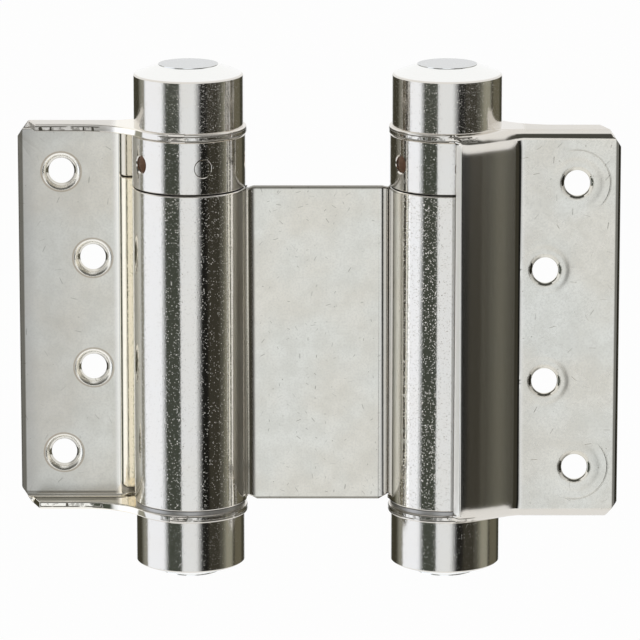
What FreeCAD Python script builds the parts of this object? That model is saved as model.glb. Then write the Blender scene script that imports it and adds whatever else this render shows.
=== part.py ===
"""Double action cafe hinge: pressed leaves on a rolled S-shaped barrel plate, a torsion spring per barrel.

Millimetres, +Z up along the barrels, +X to the right and +Y away from the viewer. The origin lies midway
between the barrel axes at half the leaf height. The hinge is the same after half a turn about Z, so pieces
are drawn about the right barrel's axis and turned for the left one.
"""

import math
import os

import FreeCAD
import Part
from FreeCAD import Vector

# Sheet and leaf
LEAF_HEIGHT = 77.0
LEAF_REACH = 33.4  # barrel axis to the leaf's outer edge
SHEET = 1.5
PLATE_OFFSET = 6.4  # axis plane to the plate's outer face
FLANGE_SHY = 0.15  # the flange's cut edge stops this far short of the axis plane
FLANGE_BEND = 2.0  # outer radius of the bend between plate and flange
INNER_BEND = 0.5
PLATE_BEND = 3.0  # radius of the bend between plate and wall, on its hollow side
WALL_SLOPE = 32.0  # degrees between wall and plate
CORNER_WIDE = 2.2  # cut corner of the plate
CORNER_HIGH = 3.3
FLANGE_RAKE = 2.0  # how far the flange's end leans inward at its cut edge
EAR_RADIUS = 11.2
EAR_FLARE = 14.0  # hollow radius between the flange's cut edge and the ear
EAR_TIP = 4.5  # degrees past the front where the ear runs into the wall
EDGE_INNER = 7.2  # degrees past the front of the wall's free edge, inner corner
EDGE_OUTER = 11.3  # the same, outer corner
PLATE_EDGE = 0.5  # rounding of the plate's outer edge

# Screw holes
SCREW_HOLE_DIA = 5.0
SINK_DIA = 7.1
SINK_DEEP = 1.0
RING_BASE_DIA = 10.8  # low ring pressed up on the outer face behind each countersink
RING_TOP_DIA = 8.0
RING_HIGH = 0.12
OUTER_HOLE_IN = 8.4  # hole centre to the leaf's outer edge
OUTER_HOLE_Z = 28.2
INNER_HOLE_IN = 14.4
INNER_HOLE_Z = 11.0

# Barrels and the plate between them
AXIS_GAP = 50.0
BARREL_DIA = 22.0
WALL_CLEAR = 0.25  # leaf wall to barrel
SEAM = 0.25
NECK_BEND = 2.5  # radius of the bend from plate to barrel, on its hollow side
LIP_ANGLE = 76.0  # degrees past the front where the rolled barrel ends in a straight lip
RELIEF_WIDE = 2.1
RELIEF_HIGH = 1.1
RELIEF_TOP_WIDE = 1.5
RELIEF_TOP_HIGH = 0.4

# Collar, pin and washer
COLLAR_HEIGHT = 10.3
COLLAR_EDGE = 0.2
COLLAR_GAP = 0.1  # collar to ear
BARREL_GAP = 0.2  # collar to barrel
SPIGOT_LONG = 4.0
SPIGOT_CLEAR = 0.1
TOMMY_HOLES = 5
TOMMY_DIA = 3.3
TOMMY_DEEP = 3.6
TOMMY_EDGE = 0.12  # bevel round a hole's mouth
TOMMY_PHASE = -56.0  # degrees from the front
COLLAR_PIN_STAND = 0.06  # how far the rounded pin end stands inside the collar's skin
WASHER_THICK = 0.7
WASHER_GAP = 0.1

# Spindle, boss, cap
SPINDLE_DIA = 8.0
RUNNING_CLEAR = 0.05
BOSS_HEIGHT = 5.5
RIVET_DIA = 11.0
RIVET_HIGH = 1.4
CAP_DIA = 21.2
CAP_WALL = 0.8
CAP_SIDE = 10.1  # ear to rim
CAP_RIM_EDGE = 0.3
CAP_CROWN = 1.85  # rim to the flat disc
CAP_DISC_DIA = 11.6
CAP_STEP = 0.12
PRESS_CLEAR = 0.02

# Spring and plug
WIRE_DIA = 2.5
SPRING_CLEAR = 1.05  # coil to bore
SPRING_TURNS = 15
SPRING_STEPS = 12  # straight lengths in a turn
WIRE_FLATS = 8
SPRING_END_GAP = 0.6
SPRING_LEG = 2.6
LEG_CLEAR = 0.15
PLUG_HEIGHT = 7.0

EAR_IN = LEAF_HEIGHT / 2 - SHEET
EAR_OUT = LEAF_HEIGHT / 2
BARREL_R = BARREL_DIA / 2
BORE_R = BARREL_R - SHEET
WALL_IN = BARREL_R + WALL_CLEAR
WALL_OUT = WALL_IN + SHEET
COLLAR_TOP = EAR_IN - COLLAR_GAP
COLLAR_BOTTOM = COLLAR_TOP - COLLAR_HEIGHT
BARREL_TOP = COLLAR_BOTTOM - BARREL_GAP
WASHER_TOP = -EAR_IN + WASHER_THICK
BARREL_BOTTOM = WASHER_TOP + WASHER_GAP
SPIGOT_BOTTOM = COLLAR_BOTTOM - SPIGOT_LONG
PLUG_TOP = BARREL_BOTTOM + PLUG_HEIGHT
SPINDLE_R = SPINDLE_DIA / 2
COIL_R = BORE_R - SPRING_CLEAR - WIRE_DIA / 2
FAR = 2 * LEAF_REACH
HALF_TURN = 180.0


def polar(radius, degrees):
    """Point at an angle from the front (-Y), positive towards +X."""
    a = math.radians(degrees)
    return Vector(radius * math.sin(a), -radius * math.cos(a), 0)


def arc(start, middle, end):
    return Part.Arc(start, middle, end).toShape()


def prism(edges, z0, z1):
    """Solid between two heights on a closed plan outline."""
    face = Part.Face(Part.Wire(Part.__sortEdges__(edges)))
    face.translate(Vector(0, 0, z0))
    return face.extrude(Vector(0, 0, z1 - z0))


def lines(*points):
    return [Part.makeLine(a, b) for a, b in zip(points, points[1:])]


def revolved(profile):
    """Solid of revolution about Z from (radius, height) corners."""
    points = [Vector(r, 0, z) for r, z in profile]
    return Part.Face(Part.makePolygon(points + points[:1])).revolve(Vector(), Vector(0, 0, 1), 360)


def tube(r_out, r_in, z0, z1):
    outer = Part.makeCylinder(r_out, z1 - z0, Vector(0, 0, z0))
    return outer.cut(Part.makeCylinder(r_in, z1 - z0, Vector(0, 0, z0)))


def skin(wall_radius, face_y, bend_radius, end_x, free_degrees):
    """One face of the leaf in plan: plate, bend, sloped wall, then the arc about the barrel to its end."""
    slope = math.radians(WALL_SLOPE)
    touch = polar(wall_radius, WALL_SLOPE)
    run = (face_y - touch.y) / math.sin(slope)
    corner = touch + Vector(math.cos(slope), math.sin(slope), 0) * run
    back = bend_radius * math.tan(slope / 2)
    on_plate = corner + Vector(back, 0, 0)
    on_wall = corner - Vector(math.cos(slope), math.sin(slope), 0) * back
    centre = on_plate - Vector(0, bend_radius, 0)
    middle = centre + Vector(-math.sin(slope / 2), math.cos(slope / 2), 0) * bend_radius
    free = polar(wall_radius, free_degrees)
    return [
        Part.makeLine(Vector(end_x, face_y, 0), on_plate),
        arc(on_plate, middle, on_wall),
        Part.makeLine(on_wall, touch),
        arc(touch, polar(wall_radius, (WALL_SLOPE + free_degrees) / 2), free),
    ]


def level_edges(shape, heights, keep):
    """Edges that lie at one of the heights and pass the test at their middle."""
    found = []
    for e in shape.Edges:
        box = e.BoundBox
        middle = e.valueAt((e.FirstParameter + e.LastParameter) / 2)
        if box.ZLength < 1e-6 and any(abs(box.ZMin - z) < 1e-6 for z in heights) and keep(middle):
            found.append(e)
    return found


def leaf_blank():
    """Block with the leaf's outer face, its top and bottom rims rounded by the flange bend."""
    front = polar(WALL_OUT, 0)
    side = Vector(-FAR, front.y, 0)
    edges = skin(WALL_OUT, -PLATE_OFFSET, PLATE_BEND, FAR, 0)
    edges += lines(front, side, Vector(-FAR, FAR, 0), Vector(FAR, FAR, 0), Vector(FAR, -PLATE_OFFSET, 0))
    block = prism(edges, -EAR_OUT, EAR_OUT)
    rims = level_edges(block, (-EAR_OUT, EAR_OUT), lambda p: p.y < 0 and abs(p.x) < 0.9 * FAR)
    return block.makeFillet(FLANGE_BEND, rims)


def leaf_hollow():
    """What the tray is empty of: everything behind the plate and wall, between the flanges."""
    inner = polar(WALL_IN, EDGE_INNER)
    outer = polar(WALL_OUT, EDGE_OUTER)
    past = inner + (outer - inner) * 4
    edges = skin(WALL_IN, -PLATE_OFFSET + SHEET, PLATE_BEND + SHEET, FAR + SHEET, EDGE_INNER)
    edges += lines(
        inner,
        past,
        Vector(-FAR - SHEET, past.y, 0),
        Vector(-FAR - SHEET, FAR + SHEET, 0),
        Vector(FAR + SHEET, FAR + SHEET, 0),
        Vector(FAR + SHEET, -PLATE_OFFSET + SHEET, 0),
    )
    block = prism(edges, -EAR_IN, EAR_IN)
    on_skin = lambda p: p.x > inner.x and p.y < 0 and p.x < FAR and abs(p.y) < WALL_IN
    return block.makeFillet(INNER_BEND, level_edges(block, (-EAR_IN, EAR_IN), on_skin))


def leaf_outline():
    """Plan outline of the leaf with its ear, through the full height."""
    flare_y = -FLANGE_SHY + EAR_FLARE
    flare_x = math.sqrt((EAR_RADIUS + EAR_FLARE) ** 2 - flare_y**2)
    flare = Vector(flare_x, flare_y, 0)
    on_flange = Vector(flare_x, -FLANGE_SHY, 0)
    on_ear = flare * (EAR_RADIUS / (EAR_RADIUS + EAR_FLARE))
    between = (on_flange + on_ear) * 0.5 - flare
    tip = polar(EAR_RADIUS, EAR_TIP)
    corner = polar(WALL_OUT, EDGE_OUTER)
    beyond = corner + Vector(0, -SHEET, 0)
    edges = lines(Vector(LEAF_REACH, -PLATE_OFFSET - SHEET, 0), Vector(LEAF_REACH, -FLANGE_SHY, 0), on_flange)
    edges.append(arc(on_flange, flare + between.normalize() * EAR_FLARE, on_ear))
    edges.append(arc(on_ear, Vector(-EAR_RADIUS, 0, 0), tip))
    edges += lines(tip, polar(WALL_IN, EDGE_INNER), corner, beyond)
    edges += lines(beyond, Vector(beyond.x, -FAR, 0), Vector(LEAF_REACH, -FAR, 0), edges[0].Vertexes[0].Point)
    return prism(edges, -EAR_OUT, EAR_OUT)


def screw_holes():
    for inset, height in ((OUTER_HOLE_IN, OUTER_HOLE_Z), (INNER_HOLE_IN, INNER_HOLE_Z)):
        for z in (-height, height):
            yield LEAF_REACH - inset, z


def leaf():
    """One pressed tray with its ears, screw holes and cut corners, about the right barrel's axis."""
    tray = leaf_blank().cut(leaf_hollow()).common(leaf_outline())
    flange_end = LEAF_REACH - CORNER_WIDE
    for side in (-1, 1):
        top = side * EAR_OUT
        corner = Part.makePolygon([
            Vector(flange_end, -FAR, top),
            Vector(LEAF_REACH, -FAR, top - side * CORNER_HIGH),
            Vector(FAR, -FAR, top - side * CORNER_HIGH),
            Vector(FAR, -FAR, top + side * SHEET),
            Vector(flange_end, -FAR, top + side * SHEET),
            Vector(flange_end, -FAR, top),
        ])
        tray = tray.cut(Part.Face(corner).extrude(Vector(0, 2 * FAR, 0)))
    far, face = LEAF_REACH, -PLATE_OFFSET
    on_edge = lambda box: abs(box.XMin - far) < 1e-6 and abs(box.YMax - face) < 1e-6
    tray = tray.makeFillet(PLATE_EDGE, [e for e in tray.Edges if on_edge(e.BoundBox)])
    flange_y = -PLATE_OFFSET + FLANGE_BEND
    rake = lines(
        Vector(flange_end, flange_y, 0),
        Vector(flange_end - FLANGE_RAKE, -FLANGE_SHY + SHEET, 0),
        Vector(FAR, -FLANGE_SHY + SHEET, 0),
        Vector(FAR, flange_y, 0),
        Vector(flange_end, flange_y, 0),
    )
    tray = tray.cut(prism(rake, -EAR_OUT, EAR_OUT))
    spindle_hole = Part.makeCylinder(SPINDLE_R + PRESS_CLEAR, LEAF_HEIGHT, Vector(0, 0, -EAR_OUT))
    tray = tray.cut(spindle_hole)
    inner_y = -PLATE_OFFSET + SHEET
    for x, z in screw_holes():
        ring_top = Vector(x, -PLATE_OFFSET - RING_HIGH, z)
        ring = Part.makeCone(RING_TOP_DIA / 2, RING_BASE_DIA / 2, RING_HIGH, ring_top, Vector(0, 1, 0))
        sink = Part.makeCone(
            SINK_DIA / 2, SCREW_HOLE_DIA / 2, SINK_DEEP, Vector(x, inner_y, z), Vector(0, -1, 0)
        )
        hole = Part.makeCylinder(
            SCREW_HOLE_DIA / 2, SHEET + 2 * RING_HIGH, Vector(x, inner_y, z), Vector(0, -1, 0)
        )
        tray = tray.fuse(ring).cut(sink).cut(hole)
    return tray.removeSplitter()


def rolled_end():
    """Right half of the barrel plate's section: the bend at the neck, the barrel and its straight lip."""
    axis = Vector(AXIS_GAP / 2, 0, 0)
    bend_y = SHEET / 2 + NECK_BEND
    bend = Vector(axis.x - math.sqrt((BARREL_R + NECK_BEND) ** 2 - bend_y**2), bend_y, 0)
    neck = (bend - axis).normalize()
    half_bend = (Vector(0, -1, 0) - neck).normalize()
    along = polar(1, -LIP_ANGLE - 90)
    lip_outer = axis + polar(BARREL_R, -LIP_ANGLE)
    lip_inner = axis + polar(BORE_R, -LIP_ANGLE)
    to_bend = bend - lip_outer
    ahead = to_bend.dot(along)
    beside = math.sqrt(to_bend.dot(to_bend) - ahead**2)
    lip = along * (ahead - math.sqrt((NECK_BEND + SHEET + SEAM) ** 2 - beside**2))
    back, front = Vector(bend.x, SHEET / 2, 0), Vector(bend.x, -SHEET / 2, 0)
    far_side = Vector(1, 0, 0)
    return [
        arc(back, bend + half_bend * NECK_BEND, axis + neck * BARREL_R),
        arc(axis + neck * BARREL_R, axis + far_side * BARREL_R, lip_outer),
        *lines(lip_outer, lip_outer + lip, lip_inner + lip, lip_inner),
        arc(lip_inner, axis + far_side * BORE_R, axis + neck * BORE_R),
        arc(axis + neck * BORE_R, bend + half_bend * (NECK_BEND + SHEET), front),
        Part.makeLine(front, Vector(-front.x, front.y, 0)),
    ]


def barrel_web():
    """The centre plate rolled into both barrels, whose lips close against it on one side of the neck."""
    section = []
    for edge in rolled_end():
        section += [edge, turned(edge)]
    body = prism(section, BARREL_BOTTOM, BARREL_TOP)
    neck_x = AXIS_GAP / 2 - BARREL_R
    for z, wide, high in (
        (BARREL_BOTTOM, RELIEF_WIDE, RELIEF_HIGH),
        (BARREL_TOP, RELIEF_TOP_WIDE, -RELIEF_TOP_HIGH),
    ):
        corners = lines(
            Vector(neck_x, -SHEET / 2, z),
            Vector(neck_x - wide, -SHEET / 2, z),
            Vector(neck_x, -SHEET / 2, z + high),
            Vector(neck_x, -SHEET / 2, z),
        )
        relief = Part.Face(Part.Wire(corners)).extrude(Vector(0, SHEET + NECK_BEND, 0))
        body = body.cut(relief).cut(turned(relief))
    return body.removeSplitter()


def leg_hole(z, reach):
    """Hole for a spring leg, from a face at height z."""
    start = Vector(COIL_R, 0, min(z, z + reach))
    return Part.makeCylinder(WIRE_DIA / 2 + LEG_CLEAR, abs(reach), start)


def adjusting_collar():
    """Turning collar on the spindle: spigot in the barrel, tommy holes in its side, a spring leg's hole."""
    bore = SPINDLE_R + RUNNING_CLEAR
    spigot = BORE_R - SPIGOT_CLEAR
    broken = BARREL_R - COLLAR_EDGE
    skirt = [(bore, SPIGOT_BOTTOM), (spigot, SPIGOT_BOTTOM), (spigot, COLLAR_BOTTOM), (broken, COLLAR_BOTTOM)]
    side = [(BARREL_R, COLLAR_BOTTOM + COLLAR_EDGE), (BARREL_R, COLLAR_TOP - COLLAR_EDGE)]
    body = revolved(skirt + side + [(broken, COLLAR_TOP), (bore, COLLAR_TOP)])
    for i in range(TOMMY_HOLES):
        body = body.cut(tommy_hole(i, TOMMY_DIA / 2, TOMMY_DEEP)).cut(tommy_mouth(i))
    return body.cut(leg_hole(SPIGOT_BOTTOM, SPRING_LEG + LEG_CLEAR)).removeSplitter()


def tommy_line(index, radius):
    """Point on a tommy hole's axis at a distance from the spindle's, and the way out."""
    out = polar(1, TOMMY_PHASE + index * 360 / TOMMY_HOLES)
    return out * radius + Vector(0, 0, (COLLAR_TOP + COLLAR_BOTTOM) / 2), out


def tommy_hole(index, radius, deep):
    start, out = tommy_line(index, BARREL_R - deep)
    return Part.makeCylinder(radius, deep + SHEET, start, out)


def tommy_mouth(index):
    """Bevel round the mouth of a tommy hole, as deep as it is wide at the hole's sides."""
    r = TOMMY_DIA / 2
    wide = r + TOMMY_EDGE
    side = math.sqrt(BARREL_R**2 - wide**2)
    start, out = tommy_line(index, side - TOMMY_EDGE)
    deep = BARREL_R - side + TOMMY_EDGE
    return Part.makeCone(r, r + deep, deep, start, out)


def collar_pin():
    """Pin pressed into the collar's second hole, its end worn to the collar's roundness."""
    skin_r = BARREL_R - COLLAR_PIN_STAND
    within = Part.makeCylinder(skin_r, COLLAR_HEIGHT, Vector(0, 0, COLLAR_BOTTOM))
    return tommy_hole(1, TOMMY_DIA / 2 - PRESS_CLEAR, TOMMY_DEEP).common(within)


def thrust_washer():
    return tube(WALL_IN - INNER_BEND, SPINDLE_R + RUNNING_CLEAR, -EAR_IN, WASHER_TOP)


def spindle():
    """Rod through both ears, its two ends riveted over the bosses."""
    end = EAR_OUT + BOSS_HEIGHT
    rivet = RIVET_DIA / 2
    crown = rivet * 0.6
    return revolved([
        (0, -end - RIVET_HIGH),
        (crown, -end - RIVET_HIGH),
        (rivet, -end),
        (SPINDLE_R, -end),
        (SPINDLE_R, end),
        (rivet, end),
        (crown, end + RIVET_HIGH),
        (0, end + RIVET_HIGH),
    ])


def end_boss():
    """Boss on the upper ear, held by the riveted spindle, that the cap is pressed over."""
    outer = CAP_DIA / 2 - CAP_WALL - PRESS_CLEAR
    return tube(outer, SPINDLE_R + PRESS_CLEAR, EAR_OUT, EAR_OUT + BOSS_HEIGHT)


def cap():
    """Drawn cap on the upper ear: straight side, sharp rim, low cone and a flat disc set off by a fine step."""
    r = CAP_DIA / 2
    disc = CAP_DISC_DIA / 2
    rim = EAR_OUT + CAP_SIDE
    crown = rim + CAP_CROWN
    side = [(r - CAP_WALL, EAR_OUT), (r, EAR_OUT), (r, rim - CAP_RIM_EDGE), (r - CAP_RIM_EDGE, rim)]
    face = [(disc, crown - CAP_STEP), (disc, crown), (0, crown)]
    inside = [(0, crown - CAP_WALL), (disc, crown - CAP_WALL - CAP_STEP), (r - CAP_WALL, rim - CAP_WALL)]
    return revolved(side + face + inside)


def spring():
    """Torsion spring between plug and collar, drawn as straight lengths of wire, with a leg into each."""
    wire = WIRE_DIA / 2
    low = PLUG_TOP + SPRING_END_GAP + wire
    high = SPIGOT_BOTTOM - SPRING_END_GAP - wire
    count = SPRING_TURNS * SPRING_STEPS
    points = [Vector(COIL_R, 0, PLUG_TOP - SPRING_LEG)]
    for i in range(count + 1):
        a = 2 * math.pi * i / SPRING_STEPS
        points.append(Vector(COIL_R * math.cos(a), COIL_R * math.sin(a), low + (high - low) * i / count))
    points.append(Vector(COIL_R, 0, SPIGOT_BOTTOM + SPRING_LEG))
    flats = [points[0] + polar(wire, 360 * (i + 0.5) / WIRE_FLATS) for i in range(WIRE_FLATS)]
    section = Part.makePolygon(flats + flats[:1])
    return Part.makePolygon(points).makePipeShell([section], True, False, 1)


def spring_plug():
    """Plug pressed into the barrel's lower end, with the hole for the lower spring leg."""
    body = tube(BORE_R - PRESS_CLEAR, SPINDLE_R + RUNNING_CLEAR, BARREL_BOTTOM, PLUG_TOP)
    return body.cut(leg_hole(PLUG_TOP, -SPRING_LEG - LEG_CLEAR))


def turned(shape, about=Vector(0, 0, 1)):
    """Copy turned half round."""
    copy = shape.copy()
    copy.rotate(Vector(), about, HALF_TURN)
    return copy


def mirrored(shape):
    """The same piece on the lower ear: turned over about Y."""
    return turned(shape, Vector(0, 1, 0))


def placed(shape, side, turn=True):
    """Moved to the right (+1) or left (-1) barrel; the left copy is turned half round unless told not to."""
    moved = shape.copy()
    moved.translate(Vector(AXIS_GAP / 2 if side > 0 or turn else -AXIS_GAP / 2, 0, 0))
    return turned(moved) if side < 0 and turn else moved


def export(name, shape):
    if shape.ShapeType == "Compound":
        shape = shape.Solids[0] if len(shape.Solids) == 1 else shape
    shape.exportStep(os.path.join("parts", name + ".step"))


os.makedirs("parts", exist_ok=True)
export("barrel_web", barrel_web())
pieces = {
    "leaf": leaf(),
    "thrust_washer": thrust_washer(),
    "spindle": spindle(),
    "end_boss_top": end_boss(),
    "end_boss_bottom": mirrored(end_boss()),
    "cap_top": cap(),
    "cap_bottom": mirrored(cap()),
}
unturned = {
    "adjusting_collar": adjusting_collar(),
    "collar_pin": collar_pin(),
    "spring": spring(),
    "spring_plug": spring_plug(),
}
for label, side in (("left", -1), ("right", 1)):
    for name, shape in pieces.items():
        export(f"{name}_{label}", placed(shape, side))
    for name, shape in unturned.items():
        export(f"{name}_{label}", placed(shape, side, turn=False))
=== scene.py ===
"""Looks of a double action cafe hinge in bright nickel plate, built on its CAD frame."""

import math

import bpy
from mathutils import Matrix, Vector

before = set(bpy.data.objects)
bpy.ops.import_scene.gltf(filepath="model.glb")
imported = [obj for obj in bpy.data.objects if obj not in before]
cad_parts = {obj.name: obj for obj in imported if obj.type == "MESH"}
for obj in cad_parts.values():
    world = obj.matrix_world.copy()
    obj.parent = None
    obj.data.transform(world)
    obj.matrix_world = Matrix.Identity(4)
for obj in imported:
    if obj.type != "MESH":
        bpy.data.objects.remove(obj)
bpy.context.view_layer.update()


# Barrel plate
# The centre plate and both barrels are one strip of steel rolled into an S, then nickel plated. The barrels
# are polished to a mirror with a fine grain left in it. The plate between them, out of the wheel's reach,
# stays satin with small pits and handling marks.
class Shade:
    """A socket in a material. Arithmetic on it adds Math nodes."""

    def __init__(self, socket):
        self.socket = socket
        self.tree = socket.id_data

    def make(self, kind, settings=None, out=0, **sockets):
        """Adds a node to this tree and returns one of its outputs. Socket names use _ for a space."""
        node = self.tree.nodes.new("ShaderNode" + kind)
        for key, value in (settings or {}).items():
            if key == "stops":
                ramp = node.color_ramp
                while len(ramp.elements) < len(value):
                    ramp.elements.new(0.5)
                for element, (place, colour) in zip(ramp.elements, value):
                    element.position, element.color = place, (*colour, 1)
            else:
                setattr(node, key, value)
        for key, value in sockets.items():
            index = int(key[1:]) if key[0] == "i" and key[1:].isdigit() else key.replace("_", " ")
            if isinstance(value, Shade):
                self.tree.links.new(value.socket, node.inputs[index])
            else:
                node.inputs[index].default_value = value
        return Shade(node.outputs[out])

    def math(self, operation, a, b=0.0):
        return self.make("Math", {"operation": operation}, i0=a, i1=b)

    def __add__(self, other):
        return self.math("ADD", self, other)

    __radd__ = __add__

    def __sub__(self, other):
        return self.math("SUBTRACT", self, other)

    def __rsub__(self, other):
        return self.math("SUBTRACT", other, self)

    def __mul__(self, other):
        return self.math("MULTIPLY", self, other)

    __rmul__ = __mul__

    def __truediv__(self, other):
        return self.math("DIVIDE", self, other)

    def __rtruediv__(self, other):
        return self.math("DIVIDE", other, self)

    def __abs__(self):
        return self.math("ABSOLUTE", self)

    def __pow__(self, power):
        return self.math("POWER", self, power)

    def above(self, low, high):
        """0 below low, 1 above high, smooth between. With low over high it runs the other way."""
        smooth = {"interpolation_type": "SMOOTHSTEP"}
        return self.make("MapRange", smooth, i0=self, i1=low, i2=high, i3=0.0, i4=1.0)

    def between(self, low, high, soft):
        """1 from low to high and 0 outside them, with both ends soft."""
        return self.above(low, low + soft) * self.above(high, high - soft)

    def tint(self, dark, light):
        """Colour between two, by this value."""
        dark, light = (c if isinstance(c, Shade) else (*c, 1) for c in (dark, light))
        return self.make("Mix", {"data_type": "RGBA"}, out=2, i0=self, i6=dark, i7=light)

    def axes(self):
        """The three parts of a vector."""
        split = self.make("SeparateXYZ", i0=self).socket.node
        return [Shade(s) for s in split.outputs]

    def stretched(self, x, y, z):
        """A vector with each part scaled."""
        return self.make("VectorMath", {"operation": "MULTIPLY"}, i0=self, i1=(x, y, z))

    def noise(self, scale, detail, rough=0.5):
        return self.make("TexNoise", i0=self, Scale=scale, Detail=detail, Roughness=rough)


MM = 0.001


def metal(name):
    """A metal material: returns it, its shader, and the piece's own coordinates in millimetres."""
    material = bpy.data.materials.new(name)
    material.use_nodes = True
    shader = material.node_tree.nodes["Principled BSDF"]
    shader.inputs["Metallic"].default_value = 1.0
    place = Shade(material.node_tree.nodes.new("ShaderNodeTexCoord").outputs["Object"])
    place = place.make("VectorMath", {"operation": "SCALE"}, i0=place, Scale=1 / MM)
    return material, shader, place


def wire(shader, height=None, **sockets):
    """Links the finish to the shader. height is the relief in millimetres."""
    if height is not None:
        sockets["Normal"] = height.make("Bump", Height=height, Strength=1.0, Distance=MM)
    for key, value in sockets.items():
        shader.id_data.links.new(value.socket, shader.inputs[key.replace("_", " ")])


WELD_GAP = 1e-6
SHARP = math.radians(35)


def dress(material, edge, *nodes, worn=None):
    """Gives CAD pieces their finish and rounds their sharp edges, or only the edges marked worn."""
    for node in nodes:
        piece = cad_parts[node]
        piece.data.materials.clear()
        piece.data.materials.append(material)
        if edge:
            weld = piece.modifiers.new("weld", "WELD")
            weld.merge_threshold = WELD_GAP
            if worn:
                piece.modifiers.new("worn", "NODES").node_group = worn
            bevel = piece.modifiers.new("edges", "BEVEL")
            bevel.width = edge * MM
            bevel.segments = 3
            bevel.limit_method = "WEIGHT" if worn else "ANGLE"
            bevel.angle_limit = SHARP
            bevel.use_clamp_overlap = False
            bevel.loop_slide = False
            normals = piece.modifiers.new("normals", "WEIGHTED_NORMAL")
            normals.mode = "FACE_AREA"
            normals.weight = 50


# The third nickel is a painted sheen: lighter than the plating, it stands for reflected light in hollows
# and gaps.
NICKEL_WARM, NICKEL_COOL, NICKEL_PAINTED_SHEEN = (0.73, 0.69, 0.625), (0.73, 0.71, 0.675), (0.94, 0.90, 0.81)
SATIN_WARM = (0.72, 0.685, 0.60), (0.79, 0.755, 0.67)
SATIN_COOL = (0.725, 0.712, 0.645), (0.80, 0.79, 0.725)
SATIN_TOOTH = (0.58, 0.56, 0.51)
# This dark colour serves both real dirt and painted shadow.
GRIME_AND_SHADE = (0.20, 0.19, 0.16)


def nickel(cloud):
    """Polished nickel, warmer and cooler in patches."""
    return cloud.tint(NICKEL_WARM, NICKEL_COOL)


def ripple(place):
    """Faint waves that polishing leaves, in millimetres."""
    return 0.006 * place.noise(0.7, 2.0)


def specks(place, scale, size):
    """Raised specks in the plating: round dots of many heights, most of them low, 0 to 1."""
    cells = place.make("TexVoronoi", i0=place, Scale=scale)
    chance = Shade(cells.socket.node.outputs["Color"]).axes()[0]
    return cells.above(size * scale, 0.0) * chance**3


def grain(place):
    """Coarse and fine specks together."""
    return specks(place, 2.2, 0.17) + specks(place, 4.2, 0.10)


def pits(place, scale, share, size):
    """Small round pits in the plating: 1 in a pit, in a share of the cells of a scattered grid."""
    cells = place.make("TexVoronoi", i0=place, Scale=scale)
    which = Shade(cells.socket.node.outputs["Color"]).axes()[0].above(1 - share, 1 - share + 0.001)
    return cells.above(size * scale, 0.4 * size * scale) * which


def nicks(place, scale, share, long, wide):
    """Short straight handling scratches that point every way, 0 to 1."""
    cells = place.make("TexVoronoi", i0=place, Scale=scale).socket.node
    which, angle, depth = Shade(cells.outputs["Color"]).axes()
    centre = Shade(cells.outputs["Position"])
    x, _, z = place.make("VectorMath", {"operation": "SUBTRACT"}, i0=place, i1=centre).axes()
    angle = angle * math.pi
    cosine, sine = angle.math("COSINE", angle), angle.math("SINE", angle)
    along = abs(x * cosine + z * sine).above(long, 0.6 * long)
    across = abs(z * cosine - x * sine).above(wide, 0.3 * wide)
    return along * across * which.above(1 - share, 1 - share + 0.001) * depth


def mottle(place):
    """Cloudy satin left by the plating bath: soft warm and cool patches with a fine tooth."""
    smoke = place.noise(0.22, 5.0, 0.66).above(0.34, 0.66)
    patch = place.noise(0.07, 2.0).above(0.35, 0.65)
    cloudy = patch.tint(smoke.tint(*SATIN_WARM), smoke.tint(*SATIN_COOL))
    return (0.30 * place.noise(2.6, 2.0).above(0.40, 0.70)).tint(cloudy, SATIN_TOOTH)


BARREL_LOW, BARREL_HIGH, BARREL_ROUND = -36.2, 26.4, 0.3
PLATE_LEFT, PLATE_RIGHT = -13.4, 12.8
LEFT_NECK, RIGHT_NECK = (-17.7, -16.0), (14.4, 18.0)
CONTACT_SHADOW_LEFT, CONTACT_SHADOW_RIGHT = 25.7, 26.9
middle, half = (BARREL_LOW + BARREL_HIGH) / 2, (BARREL_HIGH - BARREL_LOW) / 2
barrel_metal, shader, place = metal("barrel_nickel")
x, y, z = place.axes()
flat = x.between(PLATE_LEFT, PLATE_RIGHT, 1.2)
# The necks and the outer flank of the left barrel get a painted sheen, a lighter colour for reflected
# light.
painted_sheen = x.between(*RIGHT_NECK, 0.6) + x.between(*LEFT_NECK, 0.4) + x.above(-34.0, -34.6)
rolled = abs(x).above(14.8, 16.0)
ends = abs(z - middle).above(half - 0.6, half - 0.4) * (1 - rolled)
# A painted shadow line down the front of the right barrel, where the right leaf's free edge stands close to
# it.
contact_shadow = x.between(CONTACT_SHADOW_LEFT, CONTACT_SHADOW_RIGHT, 0.3) * y.above(0.0, -1.0)
right_half = x.above(0.0, 5.0)
cloud = place.noise(0.10, 3.0)
tooth = place.noise(1.6, 3.0)
dents = pits(place, 0.6, 0.35, 0.13)
marks = nicks(place, 0.30, 0.45, 0.6, 0.08) + nicks(place, 0.55, 0.3, 0.32, 0.07)
polish = painted_sheen.tint(nickel(cloud), NICKEL_PAINTED_SHEEN)
# Darkened: pits and handling marks in the plate, the plate along its top and bottom ends, and the painted
# shadow line.
dirt_and_shade = flat * (0.6 * dents + 0.7 * marks) + 0.8 * ends + 0.55 * contact_shadow
wire(
    shader,
    height=ripple(place)
    + 0.022 * grain(place) * rolled * (1 + 0.8 * right_half)
    + flat * (0.006 * tooth - 0.03 * dents - 0.015 * marks),
    Base_Color=dirt_and_shade.tint(flat.tint(polish, mottle(place)), GRIME_AND_SHADE),
    Roughness=0.09 + 0.18 * flat + 0.08 * flat * cloud + 0.2 * dents * flat,
)
dress(barrel_metal, BARREL_ROUND, "barrel_web")

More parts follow.
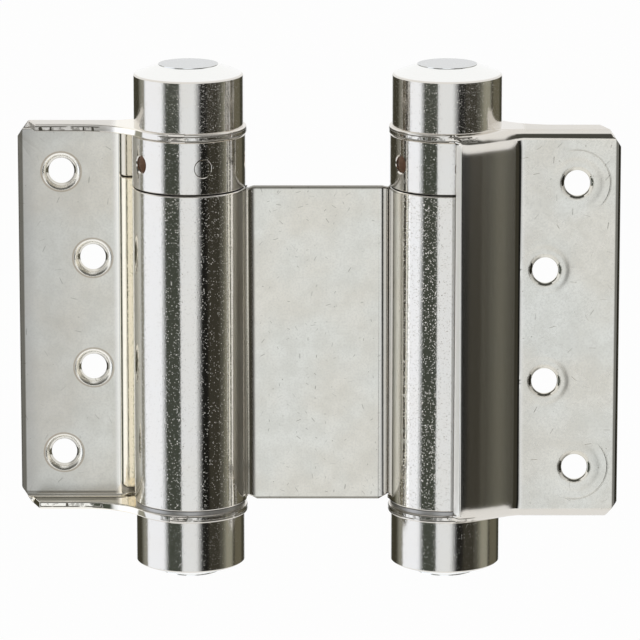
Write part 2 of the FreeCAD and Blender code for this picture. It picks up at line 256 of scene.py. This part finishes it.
# Leaves
# Each screw leaf is a pressed steel tray whose flanges run out into round ears about the barrel, nickel
# plated after pressing. The dies leave the plate satin, and the sheared edges keep their tool marks under
# the plating.
SHEET, AXIS_X, EAR_IN, EAR_RADIUS = 1.5, 25.0, 37.0, 11.2
LEAF_END, LEAF_ROUND, PLATE_START, PLATE_OFFSET = 58.4, 0.28, 38.9, 6.4
HOLE_X, HOLE_Z, INNER_X, INNER_Z = 50.0, 28.2, 44.0, 11.0
HOLE_RADIUS, SINK_RADIUS, PRESS_RADIUS = 2.5, 3.55, 6.5
GAP_LEFT, GAP_RIGHT, FREE_LEFT, FREE_RIGHT = -39.6, -33.6, 26.2, 27.7
# The grey beside the fracture colour is painted shade. The fracture colour darkens both the torn shear band
# and painted shade.
FRACTURE_AND_SHADE, PAINTED_SHADE_GREY = (0.16, 0.15, 0.125), (0.40, 0.395, 0.38)
PAINTED_HIGHLIGHT, STAIN = (0.97, 0.95, 0.89), (0.34, 0.25, 0.15)


def from_barrel_axis(x, y):
    """Distance from the axis of the nearer barrel."""
    return ((abs(x) - AXIS_X) ** 2 + y * y) ** 0.5


leaf_metal, shader, place = metal("leaf_nickel")
x, y, z = place.axes()
out, up = abs(x), abs(z)
on_plate = out.above(PLATE_START, PLATE_START + 1.4)
flat = on_plate * out.above(LEAF_END - 0.3, LEAF_END - 0.7) * up.above(EAR_IN + 0.2, EAR_IN - 0.6)
inside = on_plate * abs(y).above(PLATE_OFFSET - 0.5, PLATE_OFFSET - 1.1)
outside = 1 - inside
# Painted shade along the outer ends of both plates, for the dark of their rounded edges.
edge_painted_shade = out.above(LEAF_END - 1.1, LEAF_END - 0.8)
cloud = place.noise(0.12, 3.0)
tooth = place.noise(1.6, 3.0)
dents = pits(place, 0.6, 0.3, 0.12)
marks = nicks(place, 0.30, 0.4, 0.8, 0.09)

# The left leaf shows its inside, with painted shade towards its left end and along the upper fold, a
# painted shadow low beside the barrel, and a painted sheen in the gap beside the barrel and on the low lip.
left_end, low_ear = -LEAF_END, -EAR_IN
painted_border_shade = x.above(left_end + 4.4, left_end + 0.8)
painted_border_shade = painted_border_shade + 0.5 * z.above(EAR_IN - 3.5, EAR_IN - 0.4) * x.above(-30.0, -40.0)
painted_gap_sheen = x.between(GAP_LEFT, GAP_RIGHT, 0.8)
lip_painted_sheen = inside * x.above(-33.0, -36.0) * z.above(low_ear + 0.8, low_ear + 0.3)
foot_painted_shadow = inside * x.above(-38.0, -39.5)
foot_painted_shadow = foot_painted_shadow * z.above(low_ear + 1.1, low_ear + 0.85) * z.above(low_ear + 0.25, low_ear + 0.45)

# The right leaf shows its sloped wall, a little hollow and eased into the ears, with a painted highlight on
# its free edge.
front = y.above(-5.0, -6.0)
slope = x.above(27.4, 27.8) * x.above(38.4, 37.8) * front
free_edge = x.between(FREE_LEFT, FREE_RIGHT, 0.3) * y.above(-10.6, -11.0)
free_edge = free_edge * up.above(EAR_IN - 0.1, EAR_IN - 0.5)
hollow_wall = x.above(32.8, 37.6)
eased = x.above(26.0, 29.0) * x.above(39.8, 36.0) * front * up.above(EAR_IN - 3.4, EAR_IN + 1.0) ** 2

# The shears leave a torn band through the sheet on the cut edges of the flanges and ears.
through = (up - EAR_IN) / SHEET
cut_ear = from_barrel_axis(x, y).above(EAR_RADIUS - 0.15, EAR_RADIUS - 0.05) * out.above(31.0, 30.0)
cut = abs(y).above(0.45, 0.30) * out.above(36.0, 37.0) + cut_ear
chatter = place.stretched(0.35, 0.35, 0.6).noise(1.0, 2.0)
ticks = place.stretched(0.9, 0.9, 0.1).noise(1.0, 1.0).above(0.66, 0.70)
core = through.above(0.12, 0.16) * through.above(0.70, 0.64)
broken_line = abs(through - 0.66).above(0.09, 0.04) * chatter.above(0.36, 0.44)
lines = broken_line + abs(through - 0.14).above(0.07, 0.03)
rubble = core * (ticks + 0.55 * place.noise(1.3, 3.0).above(0.46, 0.62))
torn = cut * lines.math("MAXIMUM", lines, rubble)

# The holes are countersunk from the inside, and the countersinks carry a painted highlight. On the outside
# the punch rolls their edges in, with a painted shadow on the barrel side of each hole, and the die leaves
# a raised ring and part of a pressed circle.
beyond, beyond_inner = out - HOLE_X, out - INNER_X
from_hole = (beyond**2 + (up - HOLE_Z) ** 2) ** 0.5
from_inner = (beyond_inner**2 + (up - INNER_Z) ** 2) ** 0.5
nearest = from_hole.math("MINIMUM", from_hole, from_inner)
mouth = nearest.above(HOLE_RADIUS + 0.55, HOLE_RADIUS + 0.45)
sink = nearest.above(SINK_RADIUS + 0.2, SINK_RADIUS + 0.1) * (1 - mouth)
punched = mouth + inside * sink
countersunk = inside * punched
stain = inside * abs(nearest - (SINK_RADIUS + 0.35)).above(0.24, 0.06)
crescent_shadow = from_hole.above(HOLE_RADIUS + 0.7, HOLE_RADIUS + 0.2) * beyond.above(-0.4, -1.6)
crescent_shadow_inner = from_inner.above(HOLE_RADIUS + 0.7, HOLE_RADIUS + 0.2) * beyond_inner.above(-0.4, -1.6)
crescent_shadows = outside * (crescent_shadow + crescent_shadow_inner)
far_side = (beyond + 0.6 * (up - HOLE_Z)).above(1.0, 4.0)
press = outside * far_side * abs(from_hole - PRESS_RADIUS).above(0.22, 0.04)
rolled_in = outside * nearest.above(HOLE_RADIUS + 0.9, HOLE_RADIUS)
raised = outside * from_inner.above(HOLE_RADIUS + 2.3, HOLE_RADIUS + 1.3) * beyond_inner.above(-1.0, 2.5)

# Painted shade across the plates: the left plate darker towards its left end, the right plate darker
# towards the barrel.
left_painted_shade = x.above(-34.0, -60.0)
right_painted_shade = x.above(58.0, 36.0) * x.above(20.0, 30.0)
satin = (0.36 * left_painted_shade + 0.16 * right_painted_shade + 0.3 * painted_border_shade).tint(mottle(place), PAINTED_SHADE_GREY)
polish = (painted_gap_sheen + lip_painted_sheen).tint(nickel(cloud), NICKEL_PAINTED_SHEEN)
# A painted highlight, near white, on the wall's free edge and in the countersinks.
polish = (free_edge + countersunk).tint(polish, PAINTED_HIGHLIGHT)
plated = (0.55 * stain).tint((flat * (1 - countersunk)).tint(polish, satin), STAIN)
rough = (flat + inside - flat * inside) * (1 - punched) * (1 - lip_painted_sheen)
# Darkened: the torn shear band, press circles, pits and marks, and painted shade low beside the barrel, at
# the plates' outer ends and beside the holes.
dark = torn + 0.25 * press + 0.7 * foot_painted_shadow + 0.95 * edge_painted_shade + 0.75 * crescent_shadows + flat * 0.5 * (dents + marks)
wire(
    shader,
    height=0.005 * place.noise(0.5, 2.0)
    + flat * (0.006 * tooth - 0.03 * dents - 0.012 * marks)
    - 0.03 * press
    - 0.05 * torn * tooth
    - 0.13 * rolled_in
    + 0.05 * raised
    - 0.28 * hollow_wall
    - 0.4 * eased,
    Base_Color=dark.tint(plated, FRACTURE_AND_SHADE),
    Roughness=0.06
    + (0.17 + 0.10 * inside + 0.08 * cloud) * rough
    + 0.35 * torn
    + 0.3 * free_edge
    + 0.2 * countersunk
    + 0.10 * slope,
)

# The sharp edges are rounded by tumbling. The tight corner under each ear and the plate's outer corners are
# left sharp, because rounding would spike there.
worn = bpy.data.node_groups.new("worn_edges", "GeometryNodeTree")
for way in ("INPUT", "OUTPUT"):
    worn.interface.new_socket("Geometry", in_out=way, socket_type="NodeSocketGeometry")
bent = Shade(worn.nodes.new("GeometryNodeInputMeshEdgeAngle").outputs["Unsigned Angle"])
edge_place = Shade(worn.nodes.new("GeometryNodeInputPosition").outputs[0])
x, y, z = (abs(v / MM) for v in edge_place.axes())
under_ear = x.between(AXIS_X + 0.2, AXIS_X + 3.6, 0.1) * y.above(10.2, 10.3)
under_ear = under_ear * z.above(EAR_IN - 1.2, EAR_IN - 1.1)
at_corner = x.above(LEAF_END - 1.4, LEAF_END - 1.3) * z.above(EAR_IN - 7.0, EAR_IN - 6.9)
mark = worn.nodes.new("GeometryNodeStoreNamedAttribute")
mark.domain = "EDGE"
mark.inputs["Name"].default_value = "bevel_weight_edge"
tumbled = bent.above(0.60, 0.62) * (1 - under_ear) * (1 - at_corner)
worn.links.new(tumbled.socket, mark.inputs["Value"])
worn.links.new(worn.nodes.new("NodeGroupInput").outputs[0], mark.inputs["Geometry"])
worn.links.new(mark.outputs[0], worn.nodes.new("NodeGroupOutput").inputs[0])
dress(leaf_metal, LEAF_ROUND, "leaf_left", "leaf_right", worn=worn)

# Collars and their pins
# The adjusting collars are turned from bar, drilled for a tommy bar and plated. One hole of each is filled
# by a pin. The plating doesn't reach the bottom of the holes, which stay brown.
COLLAR_RADIUS, COLLAR_LOW, COLLAR_HIGH = 11.0, 26.6, 36.9
HOLE_BROWN, SPIGOT_SHADOW_BLACK = (0.48, 0.33, 0.24), (0.012, 0.011, 0.010)
collar_metal, shader, place = metal("collar_nickel")
x, y, z = place.axes()
cloud = place.noise(0.12, 3.0)
deep = from_barrel_axis(x, y).above(COLLAR_RADIUS - 0.35, COLLAR_RADIUS - 0.9)
drilled = deep * z.between(COLLAR_LOW + 0.2, COLLAR_HIGH - 0.3, 0.2)
# The collar's underside, seen in the joint above the barrel, is painted black and not metal: a painted
# shadow in the joint.
spigot_painted_shadow = z.above(COLLAR_LOW + 0.12, COLLAR_LOW + 0.02)
turning = place.stretched(0.03, 0.03, 5.0).noise(1.0, 2.0)
wire(
    shader,
    height=ripple(place) + 0.016 * grain(place) + 0.0008 * turning,
    Base_Color=spigot_painted_shadow.tint(drilled.tint(nickel(cloud), HOLE_BROWN), SPIGOT_SHADOW_BLACK),
    Roughness=0.09 + 0.45 * drilled + 0.5 * spigot_painted_shadow,
    Metallic=1 - 0.9 * drilled - spigot_painted_shadow,
)
for side in ("left", "right"):
    dress(collar_metal, 0, f"adjusting_collar_{side}", f"collar_pin_{side}")

# Caps
# The caps are drawn from thin sheet, with a low cone and a flat disc on the end, and polished on a spindle.
# They are pressed on the bosses over the ears.
CAP_RIM_Z, DISC_Z, DISC_RADIUS = 48.6, 50.45, 5.8
CONE_PAINTED_HIGHLIGHT, DISC_GREY = (0.97, 0.98, 0.97), (0.56, 0.575, 0.585)
cap_metal, shader, place = metal("cap_nickel")
x, y, z = place.axes()
cloud = place.noise(0.12, 3.0)
from_axis = from_barrel_axis(x, y)
disc = from_axis.above(DISC_RADIUS + 0.05, DISC_RADIUS - 0.1) * z.above(DISC_Z - 0.65, DISC_Z - 0.35)
# The cones are lifted towards white in colour: a painted highlight.
cone = abs(z).above(CAP_RIM_Z - 0.1, CAP_RIM_Z + 0.1)
spun = from_axis.make("TexNoise", {"noise_dimensions": "1D"}, W=from_axis, Scale=4.0, Detail=2.0)
wire(
    shader,
    height=ripple(place) + 0.014 * grain(place) * (1 - cone) + 0.004 * spun * disc,
    Base_Color=(disc * (0.6 + 0.4 * spun)).tint((0.8 * cone).tint(nickel(cloud), CONE_PAINTED_HIGHLIGHT), DISC_GREY),
    Roughness=0.12 + 0.15 * disc,
)
for side in ("left", "right"):
    dress(cap_metal, 0, f"cap_top_{side}", f"cap_bottom_{side}")

# Inner steel
# Spindles, bosses, washers and spring plugs are plain turned steel with a film of oil. The springs are
# wound from tempered wire, darker than the rest.
OILED_DARK, OILED_LIGHT = (0.38, 0.37, 0.36), (0.50, 0.49, 0.47)
plain_metal, shader, place = metal("plain_steel")
turning = place.noise(1.2, 4.0)
wire(shader, Base_Color=turning.tint(OILED_DARK, OILED_LIGHT), Roughness=0.28 + 0.15 * turning)
for side in ("left", "right"):
    dress(plain_metal, 0, f"spindle_{side}", f"end_boss_top_{side}", f"end_boss_bottom_{side}")
    dress(plain_metal, 0, f"thrust_washer_{side}", f"spring_plug_{side}")

TEMPER_DARK, TEMPER_LIGHT = (0.16, 0.16, 0.17), (0.27, 0.26, 0.25)
spring_metal, shader, place = metal("spring_steel")
temper = place.noise(0.8, 4.0)
wire(shader, Base_Color=temper.tint(TEMPER_DARK, TEMPER_LIGHT), Roughness=0.3 + 0.15 * temper)
dress(spring_metal, 0, "spring_left", "spring_right")

# Stage
# White surroundings with a dark canopy over the front, and a low round wall whose dark and pale panels draw
# the bands on the plating. Only reflections see the wall, and the camera doesn't see the canopy.
WALL_RADIUS, WALL_LOW, WALL_HIGH = 0.9, -0.46, -0.04
WHITE, FRONT, BACK = (1.15, 1.20, 1.30), (0.98, 1.02, 1.07), (0.80, 0.82, 0.84)
KHAKI, TAN, ASH = (0.34, 0.335, 0.27), (0.15, 0.14, 0.10), (0.30, 0.30, 0.26)
SLATE, UMBER, REAR = (0.07, 0.08, 0.066), (0.10, 0.098, 0.08), (0.055, 0.052, 0.036)
DARK, BLACK = (0.048, 0.045, 0.034), (0.012, 0.012, 0.010)
PANELS = [  # from and to in degrees past the front, positive to the right
    (-180, -170, BACK),
    (-161, -128, REAR),
    (-114, -105, ASH),
    (-101.5, -58.5, WHITE),
    (-48, -19.5, SLATE),
    (-18, 12, FRONT),
    (25, 36, BLACK),
    (42, 63, DARK),
    (67, 72, UMBER),
    (85, 100, KHAKI),
    (106, 107, DARK),
    (112, 138, TAN),
    (144, 161, REAR),
    (170, 180, BACK),
]


def studio_sheet(name, corners, faces, paint):
    """A sheet of the studio: returns the object and the node tree of its paint."""
    mesh = bpy.data.meshes.new(name)
    mesh.from_pydata(corners, [], faces)
    material = bpy.data.materials.new(paint)
    material.use_nodes = True
    mesh.materials.append(material)
    sheet = bpy.data.objects.new(name, mesh)
    bpy.context.scene.collection.objects.link(sheet)
    return sheet, material.node_tree


ring = [(math.sin(a), -math.cos(a)) for a in (math.radians(i) for i in range(-180, 180))]
corners = [(x * WALL_RADIUS, y * WALL_RADIUS, z) for z in (WALL_LOW, WALL_HIGH) for x, y in ring]
around = len(ring)
neighbours = [(i, (i + 1) % around) for i in range(around)]
faces = [(i, j, around + j, around + i) for i, j in neighbours]
wall, tree = studio_sheet("panel_wall", corners, faces, "panels")
wall.visible_camera = False
wall.visible_shadow = False
wall.visible_diffuse = False
tree.nodes.remove(tree.nodes["Principled BSDF"])
x, y, z = Shade(tree.nodes.new("ShaderNodeTexCoord").outputs["Object"]).axes()
turn = x.math("ARCTAN2", x, y * -1.0) / (2 * math.pi) + 0.5
stops = [((a + 180) / 360, paint) for start, end, paint in PANELS for a in (start, end)]
panels = turn.make("ValToRGB", {"stops": stops}, Fac=turn)
glow = panels.make("Emission", Color=panels)
tree.links.new(glow.socket, tree.nodes["Material Output"].inputs["Surface"])

FLOOR_Z, FLOOR_HALF = -0.45, 4.0
FLOOR_WHITE, FLOOR_GLOW = (0.85, 0.84, 0.82), 0.96
corners = [(x * FLOOR_HALF, y * FLOOR_HALF, FLOOR_Z) for x, y in ((-1, -1), (1, -1), (1, 1), (-1, 1))]
floor, tree = studio_sheet("floor", corners, [(0, 1, 2, 3)], "floor_white")
paint = tree.nodes["Principled BSDF"]
paint.inputs["Base Color"].default_value = (*FLOOR_WHITE, 1)
paint.inputs["Roughness"].default_value = 0.9
paint.inputs["Specular IOR Level"].default_value = 0.0
glow = tree.nodes.new("ShaderNodeEmission")
ray = tree.nodes.new("ShaderNodeLightPath")
seen = Shade(ray.outputs["Is Camera Ray"]) + Shade(ray.outputs["Is Glossy Ray"])
seen = seen.math("MINIMUM", seen, 1.0)
mix = tree.nodes.new("ShaderNodeMixShader")
tree.links.new((seen * FLOOR_GLOW).socket, mix.inputs[0])
tree.links.new(paint.outputs[0], mix.inputs[1])
tree.links.new(glow.outputs[0], mix.inputs[2])
tree.links.new(mix.outputs[0], tree.nodes["Material Output"].inputs["Surface"])

SKY, CANOPY = (1, 1, 1), (0.08, 0.08, 0.07)
world = bpy.data.worlds.new("studio")
bpy.context.scene.world = world
world.use_nodes = True
tree = world.node_tree
background = tree.nodes["Background"]
x, y, z = Shade(tree.nodes.new("ShaderNodeTexCoord").outputs["Generated"]).axes()
ray = tree.nodes.new("ShaderNodeLightPath")
canopy = z.above(0.27, 0.34) * z.above(0.97, 0.88) * y.above(-0.05, -0.30)
canopy = canopy * (1 - Shade(ray.outputs["Is Camera Ray"]))
tree.links.new(canopy.tint(SKY, CANOPY).socket, background.inputs["Color"])

# Camera
# A long lens above the front, looking down a little, at the photograph's height over the hinge. The hinge
# fills as many pixels of the square frame as in the photograph.
CAMERA_FAR = 1.0
CAMERA_ABOVE = math.radians(12.8)
PIXELS_PER_METRE = 5125
FRAME_PIXELS = 640
AIM_RIGHT, AIM_DOWN = 0.44, 0.33
aim = Vector((AIM_RIGHT * MM, 0, -AIM_DOWN * MM))
lens = bpy.data.cameras.new("camera")
lens.sensor_width = 36
lens.lens = PIXELS_PER_METRE * CAMERA_FAR / FRAME_PIXELS * lens.sensor_width
camera = bpy.data.objects.new("camera", lens)
bpy.context.scene.collection.objects.link(camera)
camera.location = aim + Vector((0, -math.cos(CAMERA_ABOVE), math.sin(CAMERA_ABOVE))) * CAMERA_FAR
camera.rotation_euler = (math.pi / 2 - CAMERA_ABOVE, 0, 0)
bpy.context.scene.camera = camera
bpy.context.scene.view_settings.view_transform = "Standard"
